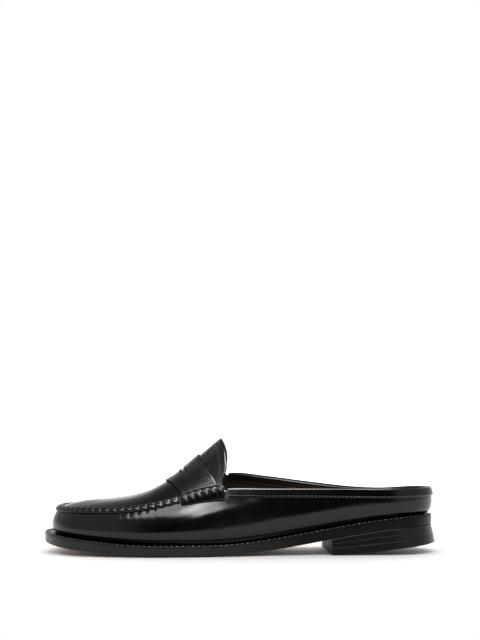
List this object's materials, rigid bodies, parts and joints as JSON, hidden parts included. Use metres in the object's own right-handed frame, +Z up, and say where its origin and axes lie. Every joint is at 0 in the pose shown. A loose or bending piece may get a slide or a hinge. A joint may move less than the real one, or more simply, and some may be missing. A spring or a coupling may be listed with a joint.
{
  "type": "loafer mule",
  "caption": "Penny loafer mule for the left foot: moccasin upper with a saddle strap, low collar round the heel, welted leather sole, low stacked heel.",
  "frame": {"origin": "middle of the shoe's footprint at floor level", "axes": "+X from the toe to the heel, +Z up, -Y towards the lateral (outer) side of the left foot"},
  "size_m": [0.268, 0.094, 0.0768],
  "materials": {
    "upper_leather": "high-gloss smooth black",
    "edge_leather": "dressed and polished black",
    "stacked_leather": "layered, stained dark brown",
    "lining_leather": "soft natural tan"
  },
  "bodies": {
    "root": {"upper": "upper_leather", "saddle_strap": "upper_leather", "roll_lateral": "upper_leather", "roll_medial": "upper_leather", "moc_seam": "upper_leather", "collar_band": "upper_leather", "insole": "lining_leather", "welt": "edge_leather", "outsole": "edge_leather", "heel_lift_1": "stacked_leather", "heel_lift_2": "stacked_leather", "heel_top_piece": "stacked_leather"}
  },
  "joints": []
}
